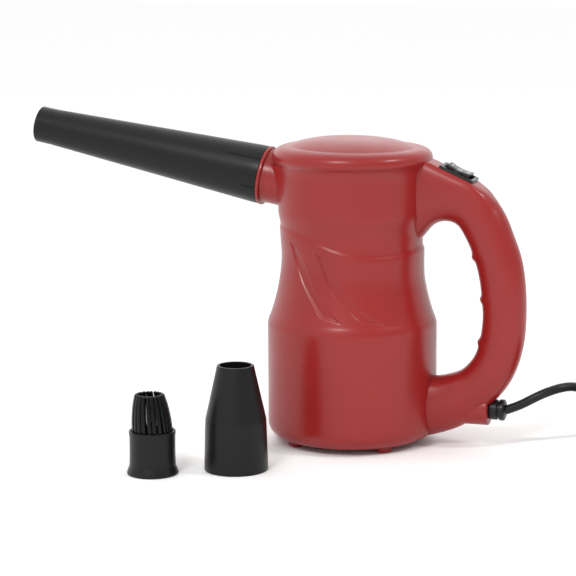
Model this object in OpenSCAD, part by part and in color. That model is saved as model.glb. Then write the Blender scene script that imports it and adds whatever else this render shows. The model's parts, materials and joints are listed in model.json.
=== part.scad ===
// Hand-held electric car dryer blower with its tapered nozzle fitted and two loose nozzles.
// Millimetres, +Z up. Origin on the vertical axis of the body, on the surface that the feet stand on.
// The outlet points along -X, the handle is on +X, and the housing halves meet on the plane y = 0.

/* [Body] */
// Outer radius of the lower drum
drum_r = 65; // [60:0.5:70]
// Outer radius at the waist
waist_r = 54; // [52:0.5:55]
// Outer radius of the barrel below the top cover
neck_r = 56.6; // [56:0.2:58]
// Largest radius of the top cover
cover_r = 61.2; // [60:0.2:63]
// Radius of the crowned lens on the top cover
lens_r = 48; // [46:0.1:50]
// Height of the lens' crown above its edge
crown_h = 6.2; // [1.6:0.2:7]
// Height of the top cover's rim
cover_top_z = 228.2; // [227:0.2:232]
// Height of the joint between the housing and the top cover
cover_joint_z = 214.5; // [213:0.5:216]
// Wall thickness of the plastic shells
wall = 2.6; // [2:0.1:3.2]
// Height of the moulded feet
foot_h = 4; // [3:0.5:5]

/* [Outlet] */
// Upward tilt of the outlet in degrees
outlet_tilt = 10.4; // [8:0.1:12]
// Distance of the outlet flange from the body axis
outlet_x = 70; // [68:0.5:72]
// Height of the outlet flange's centre
outlet_z = 203.4; // [200:0.2:206]
// Outer radius of the spigot that the nozzles push on to
spigot_r = 19.9; // [19:0.1:20.5]
// Radius of the flange that stops the nozzle
flange_r = 22.8; // [22:0.1:24]

/* [Nozzles] */
// Length of the long nozzle
nozzle_l = 188.8; // [170:1:200]
// Outer radius of the long nozzle's wide end
nozzle_wide_r = 22.5; // [22:0.1:23.5]
// Outer radius of the long nozzle's tip
nozzle_tip_r = 14; // [13:0.1:15]
// Height of the cone nozzle
cone_h = 78.3; // [70:1:90]
// Outer radius of the cone nozzle's foot
cone_foot_r = 23.5; // [23:0.1:25]
// Outer radius of the cone nozzle's mouth
cone_mouth_r = 13.5; // [12:0.1:15]
// Height of the brush nozzle's collar
collar_h = 32.3; // [28:0.1:36]
// Outer radius of the brush nozzle's collar
collar_r = 16.8; // [16.5:0.1:18]
// Height of the whole brush nozzle
brush_h = 59.5; // [54:0.5:64]
// Number of tines in the brush nozzle's crown
tine_count = 22; // [16:1:24]
// Radial running gap between a nozzle's socket and the spigot
push_gap = 0.1; // [0.06:0.01:0.1]

/* [Switch] */
// Length of the switch frame
switch_l = 28.5; // [27:0.5:30]
// Width of the switch frame
switch_w = 21.5; // [20:0.5:22]
// Slope of the switch land in degrees
switch_slope = 24; // [22:0.5:26]
// Travel of the rocker to each side in degrees
rocker_travel = 12; // [8:1:14]

/* [Motor] */
// Outer radius of the fan cover
fan_r = 46; // [44:0.5:48]
// Outer radius of the stator
stator_r = 38; // [36:0.5:40]
// Outer radius of the armature
armature_r = 18.3; // [17:0.1:18.4]
// Radius of the motor shaft
shaft_r = 4; // [3.5:0.1:4.5]

/* [Cord] */
// Diameter of the power cord
cord_d = 7; // [6:0.5:8]
// Mean radius of the coil of spare cord
coil_mean_r = 39; // [35:0.5:42]

/* [Hidden] */

$fn = 64;
shell_red = [0.66, 0.13, 0.13];
black_plastic = [0.1, 0.1, 0.1];
steel = [0.7, 0.7, 0.72];
copper = [0.72, 0.42, 0.22];
rubber_black = [0.06, 0.06, 0.06];

// Heights along the housing
base_z = foot_h;
base_r = 53;
base_round_z = 16;
shoulder_z = 92;
shoulder_top_z = 98.6;
shoulder_top_r = 63;
waist_z = 150;
waist_top_z = 163;
neck_z = 180;
flare_z = 209;
flare_r = 58.2;
intake_r = 44;

function smooth(t) = t * t * (3 - 2 * t);
function waist_curve(t) = waist_r + (shoulder_top_r - waist_r) * pow(1 - t, 2);

// Outline of the housing's outer surface from the base rim up to the cover joint, as [radius, z]
housing_outline = concat(
    [[base_r, base_z], [59, 5.6], [62.8, 9.8]],
    [[drum_r, base_round_z], [drum_r, shoulder_z], [64.3, 96], [shoulder_top_r, shoulder_top_z]],
    [for (i = [1:5]) [waist_curve(i / 5), shoulder_top_z + (waist_z - shoulder_top_z) * i / 5]],
    [for (i = [0:4]) [waist_r + (neck_r - waist_r) * smooth(i / 4), waist_top_z + (neck_z - waist_top_z) * i / 4]],
    [[neck_r, flare_z], [flare_r, cover_joint_z]]
);
outline_n = len(housing_outline);
housing_inline = [for (i = [outline_n - 1:-1:0])
    [housing_outline[i][0] - wall, i == 0 ? base_z + wall : housing_outline[i][1]]];

// Handle: outer and inner points of each cross-section in the plane y = 0, and its half width
handle_sections = [
    [[46, 228], [46, 152], 17], [[57, 223.5], [56.5, 161.5], 16], [[70, 217.8], [63.5, 169.5], 15.8],
    [[85, 211.2], [73, 173.5], 15.6], [[99, 204.6], [82, 171.5], 15.4], [[111.7, 191.3], [88, 164], 15.2],
    [[120.2, 178], [92.3, 155.5], 15], [[125.8, 164.5], [95.6, 147], 15], [[130.7, 151.5], [98.2, 139], 15],
    [[134.2, 136.2], [100.6, 128], 15], [[135.9, 119], [102.2, 115], 15], [[136.2, 102.5], [103, 102], 15],
    [[135.2, 85.9], [102, 90], 15], [[131.4, 68], [99.8, 79], 15], [[126.1, 54.8], [96.4, 70.5], 15.2],
    [[120.1, 45.2], [91.5, 64], 15.4], [[112, 36], [86, 59.4], 15.6], [[102, 27], [78.5, 56.4], 15.8],
    [[90.6, 18], [71, 54.4], 15.8], [[76, 11.2], [62, 53.4], 16], [[58, 5.8], [50, 53], 16.2]
];
section_sides = 20;

// Points of one elliptical handle section, shrunk by inset, pushed apart at the corners for a fuller grip
fullness = 0.82;
function signed_pow(v, p) = sign(v) * pow(abs(v), p);
function section_points(s, inset) =
    let (mid = (s[0] + s[1]) / 2, span = s[0] - s[1], half = norm(span) / 2 - inset, dir = span / norm(span))
    [for (k = [0:section_sides - 1])
        let (a = 360 * k / section_sides, u = signed_pow(cos(a), fullness), v = signed_pow(sin(a), fullness))
        [mid[0] + dir[0] * half * u, (s[2] - inset) * v, mid[1] + dir[1] * half * u]];

// Switch land: a flat on top of the handle
land_mid = [83, 0, 209.6];

// Cord bushing and its boss at the foot of the handle
bushing_z = 30;
bushing_r = 7.7;
boss_r = 12.2;
boss_end_x = 108.8;
bushing_end_x = 121.2;
bushing_inner_x = 98.8;
grip_r = 6.2;

// Cord clamp inside the foot of the handle
clamp_x = 87.5;
clamp_screw_z = 5.5;
clamp_boss_r = 2.4;
clamp_boss_l = [11.3, 14];
cord_tail_x = 81;

// Screws that join the housing halves, as [x, z]
handle_screw_spots = [[109.5, 169.5], [124, 102.5], [104, 45.8]];
barrel_screw_spots = [[-55.5, 36], [-55.5, 84], [-44.5, 145], [55.5, 84], [44.5, 145]];
handle_tower_l = 12.8;
screw_boss_r = 4.6;
screw_r = 1.5;
screw_head_r = 2.9;
screw_pit_r = 3.3;

// Feet on a circle, one in each quarter
foot_ring_r = 50;
foot_l = 12.7;
foot_w = 8.3;

// Cord route from the bushing to the coil, and the coil's place on the surface
cord_r = cord_d / 2;
coil_mid = [246, 44];
coil_cols = 4;
coil_rows = 3;
coil_in_r = coil_mean_r - coil_cols * cord_d / 2;
coil_out_r = coil_mean_r + coil_cols * cord_d / 2;
coil_h = coil_rows * cord_d;
cord_route = [[121.2, 0, 30], [133, 0.5, 35], [145, 2.5, 41.5], [156, 7.5, 46], [165.5, 15.5, 47.5],
    [173, 25.5, 45], [178, 35, 39], [182, 43.5, 30.5], [186, 51.5, 21.5], [190.5, 60, 13], [197, 69.5, 6.5], [206, 79.5, 3.5],
    [216.5, 88, 3.5]];

// Place things along the outlet's axis: local +Z runs out of the outlet
module on_outlet() translate([-outlet_x, 0, outlet_z]) rotate([0, outlet_tilt - 90, 0]) children();

// Place things on the switch land: local +Z stands off the land, local +X runs down the slope
module on_land() translate(land_mid) rotate([0, switch_slope, 0]) children();

// Repeat around the Z axis
module around(count, start = 0) for (k = [0:count - 1]) rotate(start + 360 * k / count) children();

// A tube swept through points in plain steps, with a round section of a few sides
function unit(v) = v / norm(v);
function heading(p, i) = unit(p[min(i + 1, len(p) - 1)] - p[max(i - 1, 0)]);
function ring_at(c, d, r, sides) =
    let (s = unit(cross(d, abs(d[2]) > 0.9 ? [1, 0, 0] : [0, 0, 1])), t = cross(s, d))
    [for (k = [0:sides - 1]) c + r * (cos(360 * k / sides) * s + sin(360 * k / sides) * t)];
module swept(rings) {
    n = len(rings[0]);
    m = len(rings);
    polyhedron(
        points = [for (r = rings) each r],
        faces = concat([[for (k = [n - 1:-1:0]) k]], [[for (k = [0:n - 1]) (m - 1) * n + k]],
            [for (i = [0:m - 2], k = [0:n - 1]) [i * n + k, (i + 1) * n + (k + 1) % n, (i + 1) * n + k]],
            [for (i = [0:m - 2], k = [0:n - 1]) [i * n + k, i * n + (k + 1) % n, (i + 1) * n + (k + 1) % n]]));
}
module tube(points, r, sides) swept([for (i = [0:len(points) - 1]) ring_at(points[i], heading(points, i), r, sides)]);

// Half of the world on one side of the parting plane: side -1 is left, side 1 is right
module half_space(side) translate([-200, side < 0 ? -200 : 0, -50]) cube([400, 200, 400]);

module barrel_solid(shrink) rotate_extrude(angle = 360)
    polygon(concat([[0, base_z]], [for (p = housing_outline) [p[0] - shrink, p[1]]], [[0, cover_joint_z]]));

module barrel_half(side) rotate([0, 0, side < 0 ? 180 : 0]) rotate_extrude(angle = 180) {
    polygon(concat([[intake_r + 0.3, base_z]], housing_outline, housing_inline, [[intake_r + 0.3, base_z + wall]]));
    // shelf that the fan's rubber mount sits in
    translate([fan_r + 4, 24]) square([drum_r - wall - fan_r - 3.5, 4]);
}

module foot(angle) rotate(angle) translate([foot_ring_r, 0, 0]) linear_extrude(base_z + 1) {
    for (s = [-1, 1]) translate([0, s * (foot_l - foot_w) / 2]) circle(d = foot_w);
    square([foot_w, foot_l - foot_w], center = true);
}

module handle_sweep(inset) swept([for (s = handle_sections) section_points(s, inset)]);

module bushing_boss(r) translate([82, 0, bushing_z]) rotate([0, 90, 0]) cylinder(r = r, h = boss_end_x - 82);

module handle_half(side) difference() {
    intersection() {
        union() {
            handle_sweep(0);
            bushing_boss(boss_r);
        }
        half_space(side);
    }
    handle_sweep(wall);
    translate([-2, 0, 0]) bushing_boss(boss_r - wall - 1.5);
    translate([90, 0, bushing_z]) rotate([0, 90, 0]) cylinder(r = grip_r + 0.1, h = 30);
    translate([boss_end_x, 0, bushing_z]) rotate([0, 90, 0]) cylinder(r = bushing_r + 0.15, h = 20);
    barrel_solid(wall / 2);
    translate([0, 0, cover_joint_z - 0.2]) cylinder(r = cover_r + 0.3, h = 30);
    on_land() translate([-30, -30, 0]) cube([60, 60, 20]);
    on_land() translate([-13.1, -9.6, -30]) cube([26.2, 19.2, 40]);
}

// Screw tower standing on one housing half, from the parting plane out to the wall
module tower(spot, reach, side) translate([spot[0], 0, spot[1]]) rotate([side < 0 ? 90 : -90, 0, 0])
    cylinder(r = screw_boss_r, h = reach);

// Two bosses in the left half that the cord clamp is screwed to, beside the cord
module clamp_bosses() difference() {
    for (s = [-1, 1]) translate([clamp_x, 0, bushing_z + s * clamp_screw_z]) rotate([90, 0, 0])
        cylinder(r = clamp_boss_r, h = clamp_boss_l[s < 0 ? 0 : 1]);
    translate([80, 0, bushing_z]) rotate([0, 90, 0]) cylinder(r = cord_r + 0.1, h = 30);
    for (s = [-1, 1]) translate([clamp_x, 1, bushing_z + s * clamp_screw_z]) rotate([90, 0, 0])
        cylinder(r = screw_r, h = 5.2);
}

module screw_cut(spot, side) translate([spot[0], 0, spot[1]]) rotate([side < 0 ? 90 : -90, 0, 0]) {
    if (side < 0) translate([0, 0, -1]) cylinder(r = screw_r - 0.2, h = 9);
    else {
        translate([0, 0, -1]) cylinder(r = screw_r + 0.1, h = 60);
        translate([0, 0, 6]) cylinder(r = screw_pit_r, h = 60);
    }
}

module spigot_hole() on_outlet() translate([0, 0, -22]) cylinder(r = spigot_r + 0.8, h = 30);
module wire_hole() translate([45, 0, 188]) rotate([0, 90, 0]) cylinder(r = 5, h = 15);

module housing_half(side) difference() {
    union() {
        difference() {
            barrel_half(side);
            spigot_hole();
            wire_hole();
        }
        difference() {
            handle_half(side);
            wire_hole();
        }
        for (a = [45, 135]) foot(side * a);
        intersection() {
            for (p = barrel_screw_spots) tower(p, drum_r, side);
            barrel_solid(wall / 2);
        }
        for (p = handle_screw_spots) tower(p, handle_tower_l, side);
        if (side < 0) clamp_bosses();
    }
    for (p = concat(barrel_screw_spots, handle_screw_spots)) screw_cut(p, side);
}

module housing_left() color(shell_red) housing_half(-1);
module housing_right() color(shell_red) housing_half(1);

// Top cover: crowned lens, rounded rim and a skirt inside the barrel
cover_skirt_z = 209;
cover_skirt_r = neck_r - wall - 0.1;
rim_z = 219.5;
rim_fullness = 0.845;
crown_fullness = 3.2;
rim_round = [for (a = [0:15:75]) [lens_r + (cover_r - lens_r) * pow(cos(a), rim_fullness),
    rim_z + (cover_top_z - rim_z) * pow(sin(a), rim_fullness)]];
function lens_line(drop) = [for (r = [lens_r, 44, 38, 30, 20, 10, 0])
    [r, cover_top_z - drop + crown_h * (1 - pow(r / lens_r, crown_fullness))]];
module top_cover() color(shell_red) difference() {
    rotate_extrude() difference() {
        polygon(concat([[0, cover_skirt_z], [cover_skirt_r, cover_skirt_z], [cover_skirt_r, cover_joint_z],
            [flare_r, cover_joint_z], [60.2, 216]], rim_round, lens_line(0)));
        polygon(concat([[0, 0], [cover_skirt_r - 2, 0], [cover_skirt_r - 2, cover_joint_z], [flare_r - wall, 216],
            [cover_r - wall - 1, 220]], lens_line(wall + 0.4)));
    }
    on_outlet() translate([0, 0, -40]) cylinder(r = spigot_r + 0.8, h = 60);
}

// Outlet spigot: tube, neck, outer flange and the collar held behind the wall
collar_back = -30;
module outlet_spigot() color(shell_red) on_outlet() difference() {
    union() {
        translate([0, 0, collar_back]) cylinder(r = spigot_r, h = 28 - collar_back);
        translate([0, 0, -20]) cylinder(r = spigot_r + 0.6, h = 20);
        translate([0, 0, -2.6]) cylinder(r = flange_r, h = 2.6);
        translate([0, 0, collar_back]) cylinder(r = spigot_r + 3, h = 2.4);
    }
    translate([0, 0, collar_back - 1]) cylinder(r = spigot_r - 2.4, h = 60 - collar_back);
}

// Intake: cover with slots, three screws, foam and the grid behind it
intake_screw_r = 36;
module intake_cover() color(shell_red) difference() {
    translate([0, 0, base_z + 0.4]) cylinder(r = intake_r - 0.1, h = 2.2);
    for (r = [14, 21, 28]) around(6, r) linear_extrude(20) intersection() {
        difference() { circle(r = r + 2); circle(r = r - 2); }
        polygon([[0, 0], [60, 26], [60, -26]]);
    }
    around(3, 30) translate([intake_screw_r, 0, 0]) cylinder(r = screw_r + 0.1, h = 20);
    around(3, 30) translate([intake_screw_r, 0, 0]) cylinder(r = screw_pit_r, h = base_z + 1.6);
}
module intake_screws() color(steel) around(3, 30) translate([intake_screw_r, 0, base_z + 0.4]) {
    cylinder(r = screw_head_r, h = 1.2);
    translate([0, 0, 1.2]) cylinder(r = screw_r, h = 8);
}
module foam_filter() color([0.16, 0.16, 0.17]) difference() {
    translate([0, 0, 6.7]) cylinder(r = 48, h = 7);
    around(3, 30) translate([intake_screw_r, 0, 0]) cylinder(r = screw_boss_r + 0.2, h = 20);
}
module filter_grid() color(black_plastic) difference() {
    union() {
        difference() {
            translate([0, 0, 6.7]) cylinder(r = 51, h = 10);
            translate([0, 0, 6]) cylinder(r = 48.4, h = 7.8);
            around(6) linear_extrude(30) intersection() {
                difference() { circle(r = 46); circle(r = 8); }
                polygon([[4, 0], [60, 27], [60, -27]]);
            }
        }
        around(3, 30) translate([intake_screw_r, 0, 6.8]) cylinder(r = screw_boss_r, h = 9.9);
    }
    around(3, 30) translate([intake_screw_r, 0, 5]) cylinder(r = screw_r, h = 10);
}

// Motor, from the fan at the bottom to the carrier plate at the top
module ring(r_out, r_in, z0, z1) translate([0, 0, z0]) difference() {
    cylinder(r = r_out, h = z1 - z0);
    translate([0, 0, -1]) cylinder(r = r_in, h = z1 - z0 + 2);
}
fan_eye_r = 17;
module lower_mount() color(rubber_black) {
    ring(fan_r + 4, fan_r, 22, 30);
    ring(fan_r + 6, fan_r + 4, 28, 30);
}
module fan_cover() color(steel) {
    ring(fan_r, fan_r - 1, 23, 43);
    ring(fan_r, fan_eye_r, 22, 23);
}
stud_x = 35.5;
module fan_base() color([0.75, 0.75, 0.76]) difference() {
    union() {
        translate([0, 0, 40]) cylinder(r = fan_r - 1, h = 3);
        translate([0, 0, 43]) cylinder(r = 15, h = 13);
        for (s = [-1, 1]) translate([s * stud_x, 0, 43]) cylinder(r = 4, h = 23);
    }
    around(8, 22.5) linear_extrude(60) intersection() {
        difference() { circle(r = 41.5); circle(r = 24); }
        polygon([[0, 0], [60, 15], [60, -15]]);
    }
    translate([0, 0, 30]) cylinder(r = shaft_r + 0.6, h = 40);
    translate([0, 0, 48]) cylinder(r = 11, h = 20);
    for (s = [-1, 1]) translate([s * stud_x, 0, 50]) cylinder(r = screw_r - 0.2, h = 20);
}
module bearing(r_out, r_in, z, h) {
    ring(r_out, r_out - 2.2, z, z + h);
    ring(r_in + 1.8, r_in, z, z + h);
    ring(r_out - 2.2, r_in + 1.8, z + 0.6, z + h - 0.6);
}
module lower_bearing() color(steel) bearing(11, shaft_r + 0.02, 48, 7);
module upper_bearing() color(steel) bearing(9.5, shaft_r + 0.02, 120, 6);

stack_z0 = 66;
stack_z1 = 96;
pole_half_w = 10;
shoe_in_r = armature_r + 0.7;
shoe_out_r = 23;
module stator_core() color(steel) translate([0, 0, stack_z0]) difference() {
    linear_extrude(stack_z1 - stack_z0) {
        difference() { circle(r = stator_r); circle(r = stator_r - 5); }
        for (s = [-1, 1]) difference() {
            union() {
                translate([-pole_half_w, s * 27 - 7]) square([2 * pole_half_w, 14]);
                intersection() {
                    circle(r = shoe_out_r);
                    polygon([[0, 0], [30, s * 27], [30, s * 40], [-30, s * 40], [-30, s * 27]]);
                }
            }
            circle(r = shoe_in_r);
        }
    }
    for (s = [-1, 1]) translate([s * stud_x, 0, -1]) cylinder(r = screw_r + 0.1, h = 60);
}
module field_coils() color(copper) for (s = [-1, 1])
    translate([0, s * 25.8, (stack_z0 + stack_z1) / 2]) rotate([90, 0, 0])
        linear_extrude(4.8, center = true) difference() {
            square([32, 42], center = true);
            square([2 * pole_half_w + 0.4, stack_z1 - stack_z0 + 0.4], center = true);
        }
module end_bracket() color([0.75, 0.75, 0.76]) difference() {
    union() {
        ring(stator_r, stator_r - 4.5, stack_z1, 100);
        around(4, 45) translate([stator_r - 4.5, -3, stack_z1]) cube([4, 6, 28]);
        ring(stator_r - 0.5, 28, 121, 124);
        around(4, 45) translate([12, -3, 121]) cube([20, 6, 3]);
        translate([0, 0, 118]) cylinder(r = 13, h = 10);
    }
    translate([0, 0, 100]) cylinder(r = shaft_r + 0.6, h = 40);
    translate([0, 0, 110]) cylinder(r = 9.5, h = 16);
    for (s = [-1, 1]) translate([s * stud_x, 0, 90]) cylinder(r = screw_r + 0.1, h = 12);
}
module motor_screws() color(steel) for (s = [-1, 1]) translate([s * stud_x, 0, 0]) {
    translate([0, 0, 58]) cylinder(r = screw_r - 0.2, h = 44);
    translate([0, 0, 100]) cylinder(r = screw_head_r, h = 2);
}
holder_z = 109;
module brush_holders() color([0.75, 0.6, 0.3]) around(2) difference() {
    union() {
        translate([12, -5, holder_z - 4.5]) cube([16, 10, 9]);
        translate([28, -5, holder_z - 4.5]) cube([1.2, 10, 9]);
        translate([29, -3, holder_z]) cube([1.5, 6, 12]);
    }
    translate([10, -3.2, holder_z - 2.7]) cube([18, 6.4, 5.4]);
}
module carbon_brushes() color([0.15, 0.15, 0.16]) around(2)
    translate([10.7, -3.1, holder_z - 2.6]) cube([9.3, 6.2, 5.2]);
module brush_springs() color(steel) around(2) translate([20, 0, holder_z]) rotate([0, 90, 0])
    rotate_extrude() polygon(concat([[0, 0]], [for (k = [0:15]) [k % 2 == 0 ? 1.7 : 2.3, k * 8 / 15]], [[0, 8]]));
module upper_mount() color(rubber_black) difference() {
    translate([0, 0, 124.2]) cylinder(r = 18, h = 9);
    translate([0, 0, 124]) cylinder(r = 13, h = 4.2);
}
module motor_carrier() color(black_plastic) {
    ring(22, 18, 125, 133.2);
    ring(52, 49, 128, 131);
    around(4, 45) translate([21.5, -3, 128]) cube([28, 6, 3]);
    ring(22, 10, 133.2, 135);
}

// Rotor
module shaft() color(steel) translate([0, 0, 24]) cylinder(r = shaft_r, h = 103);
fan_blades = 9;
module impeller() color([0.8, 0.8, 0.82]) difference() {
    union() {
        translate([0, 0, 37]) cylinder(r = 42, h = 1.2);
        ring(42, 17.5, 27, 28);
        translate([0, 0, 30]) cylinder(r = 8, h = 8);
        around(fan_blades) translate([0, 0, 27.8]) linear_extrude(9.4) intersection() {
            translate([29, -14]) difference() { circle(r = 19.6); circle(r = 18.6); }
            translate([16, -8]) square([24, 16]);
        }
    }
    cylinder(r = shaft_r, h = 60);
}
module impeller_nut() color(steel) translate([0, 0, 25]) difference() {
    cylinder(r = 6.5, h = 5, $fn = 6);
    translate([0, 0, -1]) cylinder(r = shaft_r, h = 10);
}
module armature_core() color(steel) difference() {
    translate([0, 0, stack_z0 + 1]) cylinder(r = armature_r, h = stack_z1 - stack_z0 - 2);
    cylinder(r = shaft_r, h = 200);
    around(12) translate([armature_r - 4, -0.9, 0]) cube([6, 1.8, 200]);
}
module armature_windings() color(copper) {
    rotate_extrude() polygon([[shaft_r, 60], [13, 60], [16.5, 62.5], [16.5, 67], [shaft_r, 67]]);
    rotate_extrude() polygon([[shaft_r, 95], [16.5, 95], [16.5, 98.5], [13, 101], [shaft_r, 101]]);
}
module commutator() color(copper) difference() {
    translate([0, 0, 101.5]) cylinder(r = 10.5, h = 13.5);
    cylinder(r = shaft_r, h = 200);
    around(20) translate([10, -0.25, 103.5]) cube([2, 0.5, 20]);
}

// Three-position rocker switch; the pivot is an axle through the frame's side walls
pivot_z = -2.5;
module switch_frame() color(black_plastic) on_land() difference() {
    union() {
        translate([-switch_l / 2, -switch_w / 2, 0]) cube([switch_l, switch_w, 2]);
        translate([-12.9, -9.4, -20]) cube([25.8, 18.8, 20.5]);
    }
    translate([-11.2, -7.7, -9]) cube([22.4, 15.4, 20]);
    translate([0, 0, pivot_z]) rotate([90, 0, 0]) cylinder(r = 1.56, h = 17.4, center = true);
}
rocker_l = 19.4;
rocker_w = 14.6;
module rocker() color(black_plastic) on_land() translate([0, 0, pivot_z]) {
    rotate([90, 0, 0]) linear_extrude(rocker_w, center = true) difference() {
        polygon([[-rocker_l / 2, 7.4], [-rocker_l / 2 + 0.6, 0], [-3, -3], [3, -3], [rocker_l / 2 - 0.6, 0],
            [rocker_l / 2, 7.4]]);
        translate([0, 42]) circle(r = 36, $fn = 96);
    }
    rotate([90, 0, 0]) cylinder(r = 1.5, h = 17, center = true);
}
module switch_terminals() color([0.8, 0.7, 0.4]) on_land() for (x = [-8, 0, 8])
    translate([x - 0.4, -3.2, -27]) cube([0.8, 6.4, 7]);

// Wires inside the handle and the barrel
wire_r = 1.4;
module supply_wires() color(black_plastic) for (s = [-1, 1])
    tube([[cord_tail_x, s * 1.7, 30], [77.5, s * 1.9, 30.6], [74, s * 2, 33.5], [73.2, s * 2, 38.5],
        [76.5, s * 2, 43.5], [84, s * 2, 48], [93, s * 2, 53.5], [101, s * 2, 61], [107, s * 2, 72], [110, s * 2, 86], [111, s * 2, 104],
        [110, s * 2, 122], [107, s * 2, 138], [102, s * 2, 152], [95, s * 2, 164], [86, s * 2, 174],
        [s < 0 ? 79.8 : 72.3, s * 2, s < 0 ? 181 : 184.6]], wire_r, 6);
module motor_wires() color([0.5, 0.08, 0.08]) for (s = [-1, 1])
    tube([[64.2, s * 2.2, 188], [57, s * 2.2, 188], [50, s * 2.5, 186], [43.5, s * 3, 177], [38.5, s * 4, 164],
        [36, s * 6, 152], [36.5, s * 7.5, 140], [40.5, s * 8, 131], [41.5, s * 8, 122], [39, s * 7, 115],
        [34.5, s * 4, 112.5], [32, s * 1.9, 112]], wire_r, 6);

// Cord clamp, its screws and the jacketed end of the cord
module cord_clamp() color(black_plastic) difference() {
    translate([clamp_x - 3, 0.2, bushing_z - 7.8]) cube([6, 5.8, 15.6]);
    translate([80, 0, bushing_z]) rotate([0, 90, 0]) cylinder(r = cord_r, h = 30);
    for (s = [-1, 1]) translate([clamp_x, 0, bushing_z + s * clamp_screw_z]) rotate([-90, 0, 0]) cylinder(r = screw_r, h = 20);
}
module clamp_screws() color(steel) for (s = [-1, 1])
    translate([clamp_x, 0, bushing_z + s * clamp_screw_z]) rotate([-90, 0, 0]) {
        translate([0, 0, -4]) cylinder(r = screw_r, h = 10);
        translate([0, 0, 6]) cylinder(r = 2.3, h = 1.4);
    }
module housing_screws() color(steel) for (p = concat(barrel_screw_spots, handle_screw_spots))
    translate([p[0], 0, p[1]]) rotate([-90, 0, 0]) {
        translate([0, 0, -8]) cylinder(r = screw_r - 0.2, h = 14);
        translate([0, 0, 6]) cylinder(r = screw_head_r, h = 2);
    }
module cord_bushing() color(rubber_black) difference() {
    union() {
        translate([bushing_inner_x, 0, bushing_z]) rotate([0, 90, 0]) cylinder(r = grip_r, h = 12);
        translate([boss_end_x, 0, bushing_z]) rotate([0, 90, 0]) cylinder(r1 = bushing_r - 1, r2 = bushing_r, h = 2);
        translate([boss_end_x + 2, 0, bushing_z]) rotate([0, 90, 0]) cylinder(r = bushing_r, h = bushing_end_x - boss_end_x - 2);
    }
    translate([80, 0, bushing_z]) rotate([0, 90, 0]) cylinder(r = cord_r, h = 60);
}
module cord_tail() color(rubber_black) translate([cord_tail_x, 0, bushing_z]) rotate([0, 90, 0])
    cylinder(r = cord_r, h = bushing_end_x - cord_tail_x);

// Free cord, the coil of its spare length, and the plug resting on the coil
module power_cord() color(rubber_black) tube(cord_route, cord_r, 10);
module cord_coil() color(rubber_black) translate([coil_mid[0], coil_mid[1], 0])
    rotate_extrude() translate([coil_in_r, 0]) square([coil_out_r - coil_in_r, coil_h]);
plug_l = 34;
plug_w = 21;
plug_h = 15;
module on_plug() translate([coil_mid[0] + coil_mean_r - 2, coil_mid[1] - 12, coil_h]) rotate(-90) children();
module plug_body() color(rubber_black) on_plug() {
    translate([0, -plug_w / 2, 0]) cube([plug_l * 0.62, plug_w, plug_h]);
    translate([-plug_l * 0.38, -plug_w / 3, 2]) cube([plug_l * 0.38, plug_w * 2 / 3, plug_h - 4]);
}
module plug_blades() color([0.8, 0.72, 0.45]) on_plug() for (s = [-1, 1])
    translate([plug_l * 0.62, s * 6.35 - 0.75, plug_h / 2 - (s < 0 ? 3.15 : 3.95)]) cube([17.5, 1.5, s < 0 ? 6.3 : 7.9]);

// Nozzles
socket_r = spigot_r + push_gap;
socket_l = 30;
tip_land = 12;
module long_nozzle() color(black_plastic) on_outlet() translate([0, 0, 0.1]) rotate_extrude()
    polygon([[socket_r, 0], [nozzle_wide_r, 0], [nozzle_tip_r, nozzle_l - tip_land], [nozzle_tip_r, nozzle_l],
        [nozzle_tip_r - 2, nozzle_l], [nozzle_tip_r - 2, nozzle_l - tip_land], [socket_r - 1.2, socket_l + 1], [socket_r, socket_l]]);

cone_mid = [-55.6, -116.2];
cone_shoulder_z = 38;
cone_shoulder_r = 22.3;
module cone_nozzle() color(black_plastic) translate([cone_mid[0], cone_mid[1], 0]) rotate_extrude()
    polygon([[socket_r, 0], [cone_foot_r - 0.6, 0], [cone_foot_r, 0.8], [cone_foot_r, 3], [cone_shoulder_r, cone_shoulder_z],
        [cone_mouth_r, cone_h], [cone_mouth_r - 2, cone_h], [cone_shoulder_r - 3.2, cone_shoulder_z], [socket_r, socket_l]]);

brush_mid = [-110.4, -144.3];
brush_socket_r = nozzle_tip_r + push_gap;
brush_socket_l = 14;
module brush_collar() color(black_plastic) translate([brush_mid[0], brush_mid[1], 0]) rotate_extrude()
    polygon([[brush_socket_r, 0], [18.2, 0], [18.9, 1.4], [18.2, 4], [collar_r, 7], [collar_r, collar_h - 3],
        [collar_r + 0.3, collar_h], [collar_r - 1.4, collar_h], [collar_r - 1.4, collar_h - 4],
        [12.5, collar_h - 6], [12.5, 15.5], [brush_socket_r, brush_socket_l]]);
tine_foot_r = 13.1;
tine_tip_r = 9.2;
module brush_tines() color(black_plastic) translate([brush_mid[0], brush_mid[1], 0]) {
    ring(collar_r - 1.5, 12.6, collar_h - 3.9, collar_h - 1);
    around(tine_count) hull() {
        translate([tine_foot_r, 0, collar_h - 1.5]) cube([2.3, 2.9, 1], center = true);
        translate([tine_tip_r, 0, brush_h - 0.5]) cube([2.6, 2.1, 1], center = true);
    }
}

housing_left();
housing_right();
top_cover();
outlet_spigot();
intake_cover();
intake_screws();
foam_filter();
filter_grid();
lower_mount();
fan_cover();
fan_base();
stator_core();
field_coils();
end_bracket();
motor_screws();
lower_bearing();
upper_bearing();
brush_holders();
carbon_brushes();
brush_springs();
upper_mount();
motor_carrier();
shaft();
impeller();
impeller_nut();
armature_core();
armature_windings();
commutator();
switch_frame();
rocker();
switch_terminals();
supply_wires();
motor_wires();
cord_clamp();
clamp_screws();
housing_screws();
cord_bushing();
cord_tail();
power_cord();
cord_coil();
plug_body();
plug_blades();
long_nozzle();
cone_nozzle();
brush_collar();
brush_tines();
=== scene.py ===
import json
import math

import bmesh
import bpy
import numpy as np
from mathutils import Matrix, Vector
from mathutils.bvhtree import BVHTree


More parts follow.
